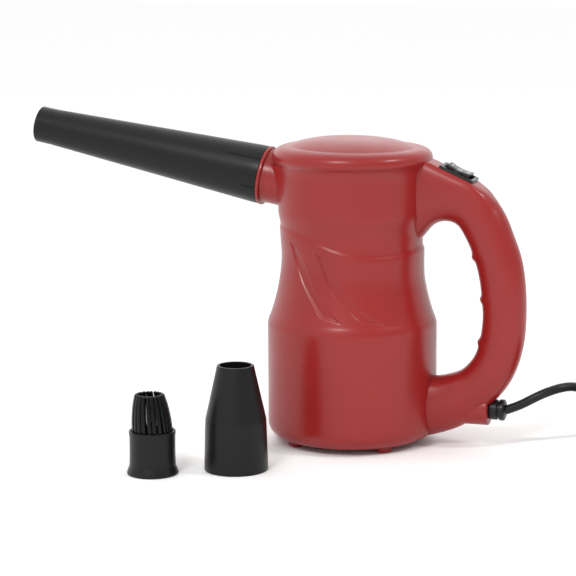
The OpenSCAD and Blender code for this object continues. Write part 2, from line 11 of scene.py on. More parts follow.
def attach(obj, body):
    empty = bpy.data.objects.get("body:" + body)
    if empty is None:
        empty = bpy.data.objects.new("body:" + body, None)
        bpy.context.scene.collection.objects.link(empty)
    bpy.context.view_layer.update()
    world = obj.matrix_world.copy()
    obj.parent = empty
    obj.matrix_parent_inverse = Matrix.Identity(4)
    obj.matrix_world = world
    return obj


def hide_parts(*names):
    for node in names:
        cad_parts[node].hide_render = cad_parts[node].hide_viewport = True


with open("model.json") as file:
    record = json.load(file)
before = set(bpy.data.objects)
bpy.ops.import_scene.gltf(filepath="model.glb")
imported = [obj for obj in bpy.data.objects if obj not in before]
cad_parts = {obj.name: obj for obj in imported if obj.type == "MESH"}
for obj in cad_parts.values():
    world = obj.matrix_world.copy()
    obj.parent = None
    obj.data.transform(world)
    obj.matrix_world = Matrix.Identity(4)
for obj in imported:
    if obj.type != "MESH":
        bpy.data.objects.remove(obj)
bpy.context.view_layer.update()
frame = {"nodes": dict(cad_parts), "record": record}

# Lengths in this script are in millimetres unless a name says otherwise; MM turns them into metres.
MM = 0.001


def smooth(t):
    """Eases from 0 at t = 0 to 1 at t = 1, and stays level outside."""
    t = np.clip(t, 0.0, 1.0)
    return t * t * (3 - 2 * t)


def cubic(points, per_gap):
    """A natural cubic spline through points, with per_gap rows for each gap between two of them."""
    p = np.array(points, float)
    t = np.concatenate([[0], np.cumsum(np.linalg.norm(np.diff(p, axis=0), axis=1))])
    h, n = np.diff(t), len(p)
    a, b = np.eye(n), np.zeros(p.shape)
    for i in range(1, n - 1):
        a[i, i - 1:i + 2] = h[i - 1], 2 * (h[i - 1] + h[i]), h[i]
        b[i] = 6 * ((p[i + 1] - p[i]) / h[i] - (p[i] - p[i - 1]) / h[i - 1])
    m = np.linalg.solve(a, b)
    rows = []
    for i in range(n - 1):
        for k in range(per_gap):
            w = k / per_gap
            v, hh = 1 - w, h[i] ** 2 / 6
            rows.append(v * p[i] + w * p[i + 1] + hh * ((v ** 3 - v) * m[i] + (w ** 3 - w) * m[i + 1]))
    rows.append(p[-1])
    return np.array(rows)


def linked(name, data):
    """A new object with this data, placed in the scene."""
    ob = bpy.data.objects.new(name, data)
    bpy.context.scene.collection.objects.link(ob)
    return ob


# ---------------------------------------------------------------- camera


def make_camera():
    azimuth, elevation, distance = math.radians(16), math.radians(9.95), 1.8
    back = Vector((math.sin(azimuth) * math.cos(elevation), -math.cos(azimuth) * math.cos(elevation),
                   math.sin(elevation)))
    data = bpy.data.cameras.new("camera")
    data.lens, data.sensor_width = 146.5, 36
    data.shift_x, data.shift_y = -0.1118, -0.0035
    data.clip_end = 40
    camera = linked("camera", data)
    camera.location = Vector((0, 0, 0.12)) + back * distance
    camera.rotation_mode = "QUATERNION"
    camera.rotation_quaternion = (-back).to_track_quat("-Z", "Y")
    bpy.context.scene.camera = camera


make_camera()

# ---------------------------------------------------------------- materials


class Nodes:
    """A short way to build a material's node tree."""

    def __init__(self, name):
        self.mat = bpy.data.materials.new(name)
        self.mat.use_nodes = True
        self.tree = self.mat.node_tree
        self.bsdf = self.tree.nodes["Principled BSDF"]
        self.coords = self.tree.nodes.new("ShaderNodeTexCoord").outputs["Object"]

    def link(self, a, b):
        self.tree.links.new(a, b)

    def stretched(self, scale):
        m = self.tree.nodes.new("ShaderNodeMapping")
        m.inputs["Scale"].default_value = scale
        self.link(self.coords, m.inputs["Vector"])
        return m.outputs["Vector"]

    def noise(self, scale, detail=3.0, rough=0.5, coords=None):
        n = self.tree.nodes.new("ShaderNodeTexNoise")
        n.inputs["Scale"].default_value = scale
        n.inputs["Detail"].default_value = detail
        n.inputs["Roughness"].default_value = rough
        self.link(coords or self.coords, n.inputs["Vector"])
        return n.outputs["Fac"]

    def cells(self, scale):
        """Distance from the walls of small random cells."""
        n = self.tree.nodes.new("ShaderNodeTexVoronoi")
        n.feature = "DISTANCE_TO_EDGE"
        n.inputs["Scale"].default_value = scale
        self.link(self.coords, n.inputs["Vector"])
        return n.outputs["Distance"]

    def span(self, value, low, high, to_low, to_high):
        n = self.tree.nodes.new("ShaderNodeMapRange")
        for name, v in (("From Min", low), ("From Max", high), ("To Min", to_low), ("To Max", to_high)):
            n.inputs[name].default_value = v
        self.link(value, n.inputs["Value"])
        return n.outputs["Result"]

    def mix(self, fac, a, b):
        n = self.tree.nodes.new("ShaderNodeMix")
        n.data_type = "RGBA"
        self.link(fac, n.inputs[0])
        for socket, v in ((n.inputs[6], a), (n.inputs[7], b)):
            if isinstance(v, tuple):
                socket.default_value = (*v, 1)
            else:
                self.link(v, socket)
        return n.outputs[2]

    def math(self, op, a, b):
        n = self.tree.nodes.new("ShaderNodeMath")
        n.operation = op
        for i, v in enumerate((a, b)):
            if isinstance(v, (int, float)):
                n.inputs[i].default_value = v
            else:
                self.link(v, n.inputs[i])
        return n.outputs[0]

    def pointiness(self):
        return self.tree.nodes.new("ShaderNodeNewGeometry").outputs["Pointiness"]

    def bump(self, height, distance, after=None):
        """Relief of this height in metres, laid over an earlier one if there is one."""
        n = self.tree.nodes.new("ShaderNodeBump")
        n.inputs["Strength"].default_value = 1.0
        n.inputs["Distance"].default_value = distance
        self.link(height, n.inputs["Height"])
        if after:
            self.link(after, n.inputs["Normal"])
        return n.outputs["Normal"]

    def set(self, **values):
        for name, v in values.items():
            socket = self.bsdf.inputs[name.replace("_", " ")]
            if hasattr(v, "node"):
                self.link(v, socket)
            else:
                socket.default_value = (*v, 1) if isinstance(v, tuple) else v
        return self.mat


def moulded(name, colour, worn, rough, grain, grain_depth, gloss):
    """Injection moulded plastic: fine grain, faint flow marks, uneven gloss and paler worn edges."""
    n = Nodes(name)
    flow = n.noise(9, 4, 0.6, n.stretched((1.0, 1.0, 0.45)))
    darker = tuple(c * 0.93 for c in colour)
    lighter = tuple(min(1, c * 1.06) for c in colour)
    base = n.mix(n.span(flow, 0.35, 0.65, 0, 1), darker, lighter)
    edge = n.span(n.pointiness(), 0.535, 0.62, 0, 0.5)
    patchy = n.span(n.noise(160, 4, 0.6), 0.4, 0.7, 0.2, 1)
    base = n.mix(n.math("MULTIPLY", edge, patchy), base, worn)
    handled = n.span(n.noise(30, 5, 0.65), 0.3, 0.7, rough - 0.035, rough + 0.045)
    fine = n.noise(grain, 2, 0.5)
    normal = n.bump(fine, grain_depth, n.bump(n.noise(40, 1), 0.00006))
    return n.set(Base_Color=base, Roughness=handled, Normal=normal, Specular_IOR_Level=gloss)


def brushed(name, colour, rough, stretch=(1, 1, 30), scale=120):
    """Machined or drawn metal with fine lines along one direction and slight stains."""
    n = Nodes(name)
    lines = n.noise(scale, 3, 0.6, n.stretched(stretch))
    stain = n.noise(40, 4, 0.6)
    base = n.mix(n.span(stain, 0.35, 0.7, 0, 1), colour, tuple(c * 0.8 for c in colour))
    uneven = n.span(lines, 0.3, 0.7, rough - 0.08, rough + 0.12)
    return n.set(Base_Color=base, Metallic=1.0, Roughness=uneven, Normal=n.bump(lines, 0.00003))


RED, RED_WORN = (0.252, 0.0115, 0.0105), (0.35, 0.04, 0.036)
BLACK, BLACK_WORN = (0.0056, 0.0058, 0.0058), (0.02, 0.02, 0.02)


def make_materials():
    mats = {
        "red_shell": moulded("red_shell", RED, RED_WORN, 0.3, 1500, 0.000012, 0.42),
        "black_plastic": moulded("black_plastic", BLACK, BLACK_WORN, 0.36, 1300, 0.00003, 0.24),
        "gloss_black": moulded("gloss_black", (0.004, 0.0042, 0.0044), BLACK_WORN, 0.26, 900, 0.00001, 0.4),
        "steel": brushed("steel", (0.56, 0.56, 0.58), 0.32),
        "zinc_screw": brushed("zinc_screw", (0.6, 0.59, 0.56), 0.3, (1, 1, 1), 400),
        "aluminium": brushed("aluminium", (0.72, 0.72, 0.74), 0.34, (1, 30, 1)),
        "copper": brushed("copper", (0.6, 0.26, 0.12), 0.35, (1, 1, 40), 200),
        "brass": brushed("brass", (0.62, 0.45, 0.2), 0.27, (1, 18, 1), 260),
    }
    n = Nodes("cord_rubber")
    base = n.mix(n.span(n.noise(70, 4), 0.35, 0.7, 0, 1), (0.004, 0.004, 0.0042), (0.009, 0.009, 0.0095))
    mats["cord_rubber"] = n.set(Base_Color=base, Roughness=n.span(n.noise(220, 3), 0.3, 0.7, 0.3, 0.45),
                                Normal=n.bump(n.noise(900, 2), 0.00003), Specular_IOR_Level=0.3)
    n = Nodes("soft_mount")
    base = n.mix(n.span(n.noise(90, 4), 0.35, 0.7, 0, 1), (0.012, 0.012, 0.012), (0.03, 0.03, 0.03))
    mats["soft_mount"] = n.set(Base_Color=base, Roughness=0.7, Normal=n.bump(n.noise(600, 3), 0.00006))
    n = Nodes("foam")
    cells = n.cells(900)
    base = n.mix(n.span(cells, 0.0, 0.25, 0, 1), (0.05, 0.05, 0.052), (0.008, 0.008, 0.008))
    mats["foam"] = n.set(Base_Color=base, Roughness=0.95, Normal=n.bump(cells, 0.0006))
    n = Nodes("carbon")
    base = n.mix(n.span(n.noise(300, 4), 0.35, 0.7, 0, 1), (0.012, 0.012, 0.014), (0.035, 0.035, 0.04))
    mats["carbon"] = n.set(Base_Color=base, Roughness=0.5, Normal=n.bump(n.noise(1500, 2), 0.00003))
    n = Nodes("bristle")
    streak = n.noise(260, 4, 0.6, n.stretched((1, 1, 0.12)))
    base = n.mix(n.span(streak, 0.35, 0.7, 0, 1), (0.001, 0.0012, 0.0014), (0.004, 0.0045, 0.005))
    mats["bristle"] = n.set(Base_Color=base, Roughness=n.span(streak, 0.3, 0.7, 0.2, 0.32),
                            Normal=n.bump(streak, 0.00006), Specular_IOR_Level=0.2)
    n = Nodes("mark_white")
    base = n.mix(n.span(n.noise(500, 3), 0.35, 0.7, 0, 1), (0.62, 0.62, 0.6), (0.75, 0.75, 0.73))
    mats["mark_white"] = n.set(Base_Color=base, Roughness=0.5, Normal=n.bump(n.noise(1200, 2), 0.00002))
    return mats


MATS = make_materials()
SLOT_OF = {s["node"]: s["material_slot"] for s in frame["record"]["subparts"]}
for node_name, node_object in frame["nodes"].items():
    for material_slot in node_object.material_slots:
        material_slot.link = "OBJECT"
        material_slot.material = MATS[SLOT_OF[node_name]]

# ---------------------------------------------------------------- mesh helpers


class Build:
    """Collects grids and loops of points, in millimetres, into one mesh."""

    def __init__(self):
        self.points, self.faces = [], []

    def add(self, points, faces):
        start = len(self.points)
        self.points.extend(np.asarray(points, float).reshape(-1, 3).tolist())
        self.faces.extend([[start + i for i in f] for f in faces])

    def grid(self, points, wrap=False, keep=None):
        """points is [rows][columns][3]; wrap closes each row, and keep says which faces stay."""
        rows, cols = points.shape[:2]
        faces = []
        for i in range(rows - 1):
            for j in range(cols if wrap else cols - 1):
                if keep is not None and not keep[i][j]:
                    continue
                k = (j + 1) % cols
                faces.append([i * cols + j, i * cols + k, (i + 1) * cols + k, (i + 1) * cols + j])
        self.add(points, faces)

    def cap(self, loop, flip=False):
        f = list(range(len(loop)))
        self.add(loop, [f[::-1] if flip else f])

    def turned(self, profile, place, segments=144):
        """A closed profile of [radius, height] turned about Z, then placed."""
        prof = np.array([*profile, profile[0]], float)
        self.grid(placed(spun(prof, full_turn(segments)), place), wrap=True)

    def mesh(self, name):
        mesh = bpy.data.meshes.new(name)
        mesh.from_pydata([[c * MM for c in p] for p in self.points], [], self.faces)
        mesh.validate()
        merge_close(mesh)
        return mesh

    def object(self, name, body, mat, slot=None, replaces=(), sharp=38):
        """Makes the mesh a piece that rides on a body; edges sharper than sharp degrees stay crisp."""
        mesh = self.mesh(name)
        mesh.materials.append(MATS[mat])
        shade(mesh, sharp)
        ob = linked(name, mesh)
        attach(ob, body)
        if replaces:
            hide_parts(*replaces)
        return ob


def merge_close(mesh):
    """Joins points that lie within 0.005 mm of each other and turns all faces outward."""
    bm = bmesh.new()
    bm.from_mesh(mesh)
    bmesh.ops.remove_doubles(bm, verts=bm.verts, dist=0.005 * MM)
    bmesh.ops.recalc_face_normals(bm, faces=bm.faces)
    bm.to_mesh(mesh)
    bm.free()


def shade(mesh, sharp):
    mesh.shade_smooth()
    mesh.set_sharp_from_angle(angle=math.radians(sharp))


def full_turn(count):
    return np.linspace(0, 2 * np.pi, count, endpoint=False)


def spun(prof, angles):
    """Rows of points from a profile of [radius, height], one column for each angle about Z."""
    return np.stack([np.outer(prof[:, 0], np.cos(angles)), np.outer(prof[:, 0], np.sin(angles)),
                     np.repeat(prof[:, 1:2], len(angles), 1)], 2)


def placed(pts, place):
    """The points moved by a 4 by 4 matrix."""
    m = np.array(place)
    return pts @ m[:3, :3].T + m[:3, 3]


def rounded(profile, steps=5):
    """A closed profile of [a, b] or [a, b, radius] with its corners rounded."""
    out, n = [], len(profile)
    for i, p in enumerate(profile):
        if len(p) < 3 or p[2] == 0:
            out.append([p[0], p[1]])
            continue
        q = np.array(p[:2], float)
        a, b = np.array(profile[i - 1][:2], float) - q, np.array(profile[(i + 1) % n][:2], float) - q
        la, lb = np.linalg.norm(a), np.linalg.norm(b)
        a, b = a / la, b / lb
        half = math.acos(max(-1, min(1, float(a @ b)))) / 2
        reach = min(p[2] / math.tan(half), la * 0.48, lb * 0.48)
        s, e = q + a * reach, q + b * reach
        for k in range(steps + 1):
            t = k / steps
            out.append(((1 - t) ** 2 * s + 2 * t * (1 - t) * q + t ** 2 * e).tolist())
    return out


def rounded_box(length, width, radius, height, steps=6):
    """A rounded rectangle as a loop of points at one height."""
    loop = []
    for cx, cy, a0 in ((1, 1, 0), (-1, 1, 90), (-1, -1, 180), (1, -1, 270)):
        for k in range(steps + 1):
            a = math.radians(a0 + 90 * k / steps)
            loop.append([cx * (length / 2 - radius) + radius * math.cos(a),
                         cy * (width / 2 - radius) + radius * math.sin(a), height])
    return np.array(loop)


# The outlet's frame has its z along the tilted outlet; the land is the sloping flat that the switch sits in
TILT = math.radians(10.4)
OUTLET = Matrix.Translation((-70, 0, 203.4)) @ Matrix.Rotation(TILT - math.pi / 2, 4, "Y")
SLOPE = math.radians(24)
LAND = Matrix.Translation((83, 0, 209.6)) @ Matrix.Rotation(SLOPE, 4, "Y")
BORE_R, BORE_DEPTH = 19.6, 40
OUTLET_AXIS = np.array(OUTLET.to_3x3() @ Vector((0, 0, 1)))


def off_outlet_axis(pts):
    """Distance of each point from the outlet's axis, and how far along it the point is."""
    d = pts - np.array(OUTLET.translation)
    along = d @ OUTLET_AXIS
    return np.linalg.norm(d - along[..., None] * OUTLET_AXIS, axis=-1), along


def in_outlet(pts):
    away, along = off_outlet_axis(pts)
    return (away < BORE_R) & (along > -BORE_DEPTH)


# ---------------------------------------------------------------- housing shells

DRUM_R, WAIST_R, NECK_R, JOINT_Z = 65.0, 54.0, 56.6, 214.5


def barrel_radius(z):
    """Outer radius of the barrel at each height above the bottom fillet."""
    shoulder = np.interp(z, [91, 92, 93, 94, 95, 96, 97, 97.8, 98.6],
                         [65, 64.97, 64.86, 64.68, 64.43, 64.1, 63.72, 63.38, 63.0])
    waist = WAIST_R + 9.0 * (1 - np.clip((z - 98.6) / 51.4, 0, 1)) ** 2
    r = np.where(z < 91, DRUM_R, np.where(z < 98.6, shoulder, waist))
    r = r + (NECK_R - WAIST_R) * smooth((z - 163) / 17)
    return r + 1.75 * np.clip((z - 204.5) / 10, 0, 1) ** 2.4


def band_height(phi):
    """Height of the slanted moulded band at each angle round the barrel, in degrees from the handle."""
    degrees = [0, 10, 20, 30, 40, 50, 60, 70, 80, 90, 104, 115, 125, 140, 160, 180]
    return np.interp(phi, degrees, [152.6, 152.1, 151.3, 150.3, 149.6, 149.4, 149.9, 151.0, 152.8, 155.2,
                                    159.8, 163, 165.3, 167, 167.8, 168.2])


# The two edges of each leaf, as [degrees round the barrel from the handle, height]
LEAF_1 = {"crisp": [(133, 160), (124, 139.8), (116.5, 128.5), (108, 118.4), (101.3, 110.6), (96.5, 105.2),
                    (93, 104.2), (88, 103.2), (80, 100.2)],
          "soft": [(133, 160), (122.6, 153.8), (116, 145), (109, 132.7), (104.3, 125.5), (93.6, 113.8),
                   (80, 100.2)]}
LEAF_2 = {"crisp": [(106, 155.4), (100.3, 144.6), (95, 131.3), (88.2, 120.7), (81, 113.5), (74, 107.7),
                    (67.7, 102.2), (60, 101.2), (47.4, 99.7)],
          "soft": [(106, 155.4), (94.6, 145.7), (87, 134.2), (78, 121), (68.3, 111.8), (58, 104.8),
                   (47.4, 99.7)]}
# Millimetres of wall for each degree round it, at the leaves' mean radius
ARC = math.radians(1) * 58.0


def line_distance(u, v, line):
    """Distance over the wall from each point to a line of [degrees, height]."""
    best = np.full(u.shape, 1e9)
    for (a, b), (c, d) in zip(line[:-1], line[1:]):
        a, c = a * ARC, c * ARC
        t = np.clip(((u - a) * (c - a) + (v - b) * (d - b)) / ((c - a) ** 2 + (d - b) ** 2), 0, 1)
        best = np.minimum(best, np.hypot(u - a - t * (c - a), v - b - t * (d - b)))
    return best


def leaf_depth(phi, z, leaf):
    """How deep a moulded leaf lies in the wall, from its crisp edge to its soft one."""
    u, v = phi * ARC, z
    crisp, soft = (cubic([(a * ARC, b) for a, b in leaf[k]], 4) / [ARC, 1] for k in ("crisp", "soft"))
    outline = np.vstack([crisp, soft[::-1]])
    inside = np.zeros(phi.shape, bool)
    for (a, b), (c, d) in zip(outline, np.roll(outline, -1, 0)):
        crosses = (b > v) != (d > v)
        where = a * ARC + (v - b) / np.where(d == b, 1e-9, d - b) * (c - a) * ARC
        inside ^= crosses & (u < where)
    near, far = line_distance(u, v, crisp), line_distance(u, v, soft)
    floor = 0.35 + 0.65 * far / (near + far + 1e-6)
    return np.where(inside, 1.3 * smooth(near / 1.15) * floor * smooth(far / 1.4), 0.0)


def barrel_half(side):
    """The barrel's outer skin for one side of the plane y = 0, as rows up the wall."""
    turn = np.concatenate([[0, 0.3, 0.6], np.arange(1.2, 178.9, 0.6), [179.4, 179.7, 180]])
    rows = [(44.4, 7.0), (44.4, 4.5), (44.7, 4.15), (45.2, 4.0), (49.0, 4.0), (53.0, 4.0)]
    fillet = 12
    rows += [(DRUM_R - fillet + fillet * math.sin(math.radians(a)), 16 - fillet * math.cos(math.radians(a)))
             for a in range(5, 90, 5)]
    heights = np.concatenate([np.arange(16, 91, 1.5), np.arange(91, 97, 0.6), np.arange(97, 170, 0.6),
                              np.arange(170.2, 208, 1.1), np.arange(208.4, JOINT_Z, 0.7), [JOINT_Z]])
    base = np.array(rows + [(float(barrel_radius(np.array(z))), float(z)) for z in heights])
    base = np.vstack([base, [[58.2, JOINT_Z + 0.03]], [[55.8, JOINT_Z + 0.03]]])
    r = np.repeat(base[:, :1], len(turn), 1)
    z = np.repeat(base[:, 1:], len(turn), 1)
    phi = np.repeat(turn[None], len(base), 0)
    wall = (z > 15.9) & (z <= JOINT_Z)
    below = band_height(phi) - z
    lip = 1.25 * smooth((below + 2.3) / 4.4) * (1 - smooth((below - 3) / 24))
    leaves = leaf_depth(phi, z, LEAF_1) + leaf_depth(phi, z, LEAF_2)
    fairing = 5.5 * smooth((z - 182) / 31) * (1 - smooth((180 - phi - 8) / 24))
    r = r + np.where(wall, lip - leaves + fairing, 0)
    r = r - np.where(z > 4.4, np.interp(np.minimum(phi, 180 - phi), [0, 0.3], [0.28, 0]), 0)
    t = np.radians(phi) * side
    pts = np.stack([r * np.cos(t), r * np.sin(t), z], 2)
    bored = in_outlet(pts)
    keep = ~(bored[:-1, :-1] & bored[1:, 1:] & bored[1:, :-1] & bored[:-1, 1:])
    return pts, keep


# Stations down the handle: outer edge x and z, inner edge x and z, half width
HANDLE = [
    [46, 228, 46, 152, 17], [57, 223.5, 56.5, 161.5, 16], [70, 217.8, 63.5, 169.5, 15.8],
    [85, 211.2, 73, 173.5, 15.6], [99, 204.6, 82, 171.5, 15.4], [111.7, 191.3, 88, 164, 15.2],
    [120.2, 178, 92.3, 155.5, 15], [125.8, 164.5, 95.6, 147, 15], [130.7, 151.5, 98.2, 139, 15],
    [134.2, 136.2, 100.6, 128, 15], [135.9, 119, 102.2, 115, 15], [136.2, 102.5, 103, 102, 15],
    [135.2, 85.9, 102, 90, 15], [131.4, 68, 99.8, 79, 15], [126.1, 54.8, 96.4, 70.5, 15.2],
    [120.1, 45.2, 91.5, 64, 15.4], [112, 36, 86, 59.4, 15.6], [102, 27, 78.5, 56.4, 15.8],
    [90.6, 18, 71, 54.4, 15.8], [76, 11.2, 62, 53.4, 16], [58, 5.8, 50, 53, 16.2]]
FINGER_RIDGES = [147, 115, 82.5]
CORD_Z = 30
WELL_HOLE_R = 3.9
BARREL_SCREWS = [(-55.5, 36), (-55.5, 84), (-44.5, 145), (55.5, 84), (44.5, 145)]
HANDLE_SCREWS = [(109.5, 169.5), (124, 102.5), (104, 45.8)]


def handle_half(side):
    """The handle's skin for one side, as rings along it, with the switch land, ridge and finger ridges."""
    s = cubic(HANDLE, 12)
    near_seam, far_seam = [0, 0.45, 1.1, 2.4], [177.6, 178.9, 179.55, 180]
    around = np.radians(np.concatenate([near_seam, np.arange(5, 177, 4), far_seam]))
    outer, inner, half_w = s[:, 0:2], s[:, 2:4], s[:, 4]
    mid, span = (outer + inner) / 2, outer - inner
    half = np.linalg.norm(span, axis=1) / 2
    out = span / (2 * half)[:, None]
    ca, sa = np.cos(around), np.sin(around)
    top = smooth((outer[:, 1] - 186) / 14)[:, None]
    power = np.where(ca[None] > 0, 0.94 - 0.36 * top, 0.94)
    u = np.sign(ca)[None] * np.abs(ca)[None] ** power
    v = np.abs(sa)[None] ** power
    seam = np.interp(np.minimum(around, np.pi - around), [0, math.radians(0.45)], [0.28, 0])[None]
    inward = (u < 0) & (inner[:, 1:2] > 70) & (inner[:, 1:2] < 156)
    ridge = sum(np.exp(-(((inner[:, 1:2] - z0) / 2.6) ** 2)) for z0 in FINGER_RIDGES)
    ridge = np.where(inward, 1.7 * ridge * np.abs(u) ** 4, 0)
    reach = half[:, None] * u + np.where(u < 0, -ridge, 0) - seam * np.sign(u)
    x = mid[:, 0:1] + out[:, 0:1] * reach
    z = mid[:, 1:2] + out[:, 1:2] * reach
    y = side * half_w[:, None] * v
    pts = np.stack([x, y, z], 2)
    normal = np.array([math.sin(SLOPE), 0, math.cos(SLOPE)])
    over = (pts - np.array(LAND.translation)) @ normal
    soft = 0.55 + 2.4 * smooth((x - 93) / 10)
    flat = 0.5 * (over - np.sqrt(over ** 2 + soft ** 2))
    on_top = smooth((z - 188) / 6)
    return pts + ((flat - over) * on_top)[..., None] * normal


def foot(angle):
    """One moulded foot, standing on the floor and running up into the drum's bottom."""
    place = Matrix.Rotation(math.radians(angle), 4, "Z") @ Matrix.Translation((50, 0, 0))
    rings = []
    for height, grow in ((0.0, -1.0), (0.12, -0.45), (0.4, -0.12), (0.9, 0.0), (2.5, 0.12), (4.0, 0.35),
                         (6.5, 0.6)):
        rings.append(rounded_box(8.3 + 2 * grow, 12.7 + 2 * grow, 4.1 + grow, height, 8))
    return placed(np.array(rings), place)


def boss_half(side):
    """The cord bushing's boss under the handle, from the plane y = 0 round one side."""
    a = np.radians(np.linspace(0, 180, 49))
    rows = [(84, 12.2), (107.6, 12.2), (108.3, 12.05), (108.7, 11.6), (108.8, 11.0), (108.8, 6.6), (100, 6.6)]
    return np.array([[[x, side * r * math.sin(t), CORD_Z + r * math.cos(t)] for t in a] for x, r in rows])


def make_shell(side, name, node):
    """One housing half, open under the switch; side is -1 for the left half and 1 for the right."""
    b = Build()
    pts, keep = barrel_half(side)
    grip = handle_half(side)
    middle = (grip[:-1, :-1] + grip[1:, 1:]) / 2
    opening = np.array([12.7, 9.2, 4])
    grip_keep = ~(np.abs(placed(middle, LAND.inverted())) < opening).all(-1)
    if side > 0:
        centre = (pts[:-1, :-1] + pts[1:, 1:]) / 2
        for spots, at, left in ((BARREL_SCREWS, centre, keep), (HANDLE_SCREWS, middle, grip_keep)):
            for x, z in spots:
                left &= np.hypot(at[..., 0] - x, at[..., 2] - z) > WELL_HOLE_R
        wells(b, pts, grip)
    b.grid(pts, keep=keep)
    b.grid(grip, keep=grip_keep)
    for a in (45, 135):
        rings = foot(side * a)
        b.grid(rings, wrap=True)
        b.cap(rings[0], flip=True)
    b.grid(boss_half(side))
    b.object(name, "blower", "red_shell", replaces=[node], sharp=50)


def wells(b, barrel, grip):
    """The rims and bores of the screw wells in the right half, laid on its surface."""
    faces, verts = [], []
    for g in (barrel, grip):
        start, (n, m) = len(verts), g.shape[:2]
        verts.extend(g.reshape(-1, 3).tolist())
        corners = [start + i * m + j for i in range(n - 1) for j in range(m - 1)]
        faces += [[c, c + 1, c + m + 1, c + m] for c in corners]
    tree = BVHTree.FromPolygons(verts, faces)
    a = full_turn(48)
    for x, z in BARREL_SCREWS + HANDLE_SCREWS:
        rings = []
        for r, lift in ((5.6, -0.12), (4.9, 0.12), (4.5, 0.32), (3.7, 0.32), (3.35, 0.1), (3.3, -0.4)):
            ring = []
            for t in a:
                px, pz = x + r * math.cos(t), z + r * math.sin(t)
                hit = tree.ray_cast(Vector((px, 120, pz)), Vector((0, -1, 0)))[0]
                ring.append([px, hit[1] + lift, pz])
            rings.append(ring)
        for r, y in ((3.2, 6.05), (0.5, 6.05)):
            rings.append([[x + r * math.cos(t), y, z + r * math.sin(t)] for t in a])
        b.grid(np.array(rings), wrap=True)


make_shell(-1, "shell_left", "housing_left")
make_shell(1, "shell_right", "housing_right")


def make_cover():
    """The domed cover: a rounded rim, a crisp edge and a crowned lens that leans a little to the handle."""
    edge_r, edge_z, crown, rim_r, rim_z = 48.0, 228.2, 6.2, 61.2, 219.4
    rim_power, crown_power, lean_angle = 0.845, 3.2, math.radians(0.9)
    under = cubic([(58.35, 214.55), (58.9, 215.3), (59.8, 216.3), (60.75, 217.7), (61.12, 218.7)], 4)
    t = np.radians(np.linspace(90, 2, 34))
    rim = np.stack([edge_r + (rim_r - edge_r) * np.sin(t) ** rim_power,
                    rim_z + (edge_z - rim_z) * np.cos(t) ** rim_power], 1)
    lens = [(r, edge_z + 0.05 + crown * (1 - (r / edge_r) ** crown_power))
            for r in (47.7, 47, 46, 44, 41, 38, 34, 30, 25, 20, 15, 10, 5, 0.02)]
    prof = np.vstack([[(56.0, 214.5), (58.2, 214.54)], under, rim, lens])
    pts = spun(prof, np.radians(np.arange(0, 360, 1.25)))
    lean = np.clip((rim_r - prof[:, 0:1]) / (rim_r - edge_r), 0, 1) * (prof[:, 1:2] > rim_z)
    pts[..., 2] -= pts[..., 0] * math.tan(lean_angle) * lean
    bored = in_outlet(pts)
    nxt = np.roll(bored, -1, 1)
    keep = ~(bored[:-1] & bored[1:] & nxt[:-1] & nxt[1:])
    b = Build()
    b.grid(pts, wrap=True, keep=keep)
    b.object("cover", "blower", "red_shell", replaces=["top_cover"], sharp=60)


def make_spigot():
    """The outlet's neck with its flange, and the plain end that the long nozzle slides on."""
    b = Build()
    b.turned(rounded([[17.5, -32], [22.9, -32], [22.9, -29.6], [20.5, -29.6], [20.4, -8, 3],
                      [20.6, -2.6, 0.8], [22.8, -2.6, 0.7], [22.8, 0, 0.7], [19.9, 0, 0.3],
                      [19.9, 28, 0.8], [17.5, 28, 0.5]]), OUTLET)
    b.object("spigot", "blower", "red_shell", replaces=["outlet_spigot"])


make_cover()
make_spigot()

# ---------------------------------------------------------------- switch

ROCKER_LENGTH, ROCKER_WIDTH = 19.4, 14.6


def rocker_top(x):
    """Height of the rocker's dished top over the land: an arc of 36 mm radius."""
    return 39.5 - math.sqrt(36 ** 2 - x * x)


def make_bezel():
    b = Build()
    steps = [(26.0, 19.0, 1.2, -3.0), (28.5, 21.5, 1.6, -0.6), (28.5, 21.5, 1.6, 1.2), (28.2, 21.2, 1.5, 1.7),
             (27.4, 20.4, 1.3, 2.0), (24.2, 17.0, 1.0, 2.0), (23.0, 15.9, 0.9, 1.7), (22.5, 15.5, 0.8, 1.0),
             (22.4, 15.4, 0.8, -8.9)]
    loops = np.array([rounded_box(*s, 6) for s in steps])
    b.grid(placed(loops, LAND), wrap=True)
    b.cap(placed(loops[-1], LAND))
    under = np.array([rounded_box(25.8, 18.8, 0.8, h, 3) for h in (-20, 0)])
    b.grid(placed(under, LAND), wrap=True)
    b.cap(placed(under[0], LAND), flip=True)
    b.object("switch_bezel", "blower", "gloss_black", "black_plastic", ["switch_frame"], 30)


def make_rocker():
    """The rocker: a dished outline drawn across its width, with rounded cheeks."""
    b = Build()
    half_l, half_w, sunk = ROCKER_LENGTH / 2, ROCKER_WIDTH / 2, 2.5
    top = [(x, rocker_top(x) + sunk) for x in np.linspace(-9.2, 9.2, 27)]
    outline = [(-9.6, 6.9), *top, (9.6, 6.9), (half_l - 0.6, 0), (3, -3), (-3, -3), (-half_l + 0.6, 0)]
    centre = np.array([0, 2.0])
    rows = []
    cheek = ((half_w, 0.55), (half_w - 0.15, 0.25), (half_w - 0.5, 0.0))
    for y, shrink in [(-y, shrink) for y, shrink in cheek] + list(cheek[::-1]):
        ring = []
        for x, z in outline:
            d = np.array([x, z]) - centre
            q = centre + d * (1 - shrink / max(np.linalg.norm(d), 1))
            ring.append([q[0], y, q[1] - sunk])
        rows.append(ring)
    rows = placed(np.array(rows), LAND)
    b.grid(rows, wrap=True)
    b.cap(rows[0])
    b.cap(rows[-1], flip=True)
    b.object("rocker_cap", "rocker", "gloss_black", "black_plastic", ["rocker"], 30)


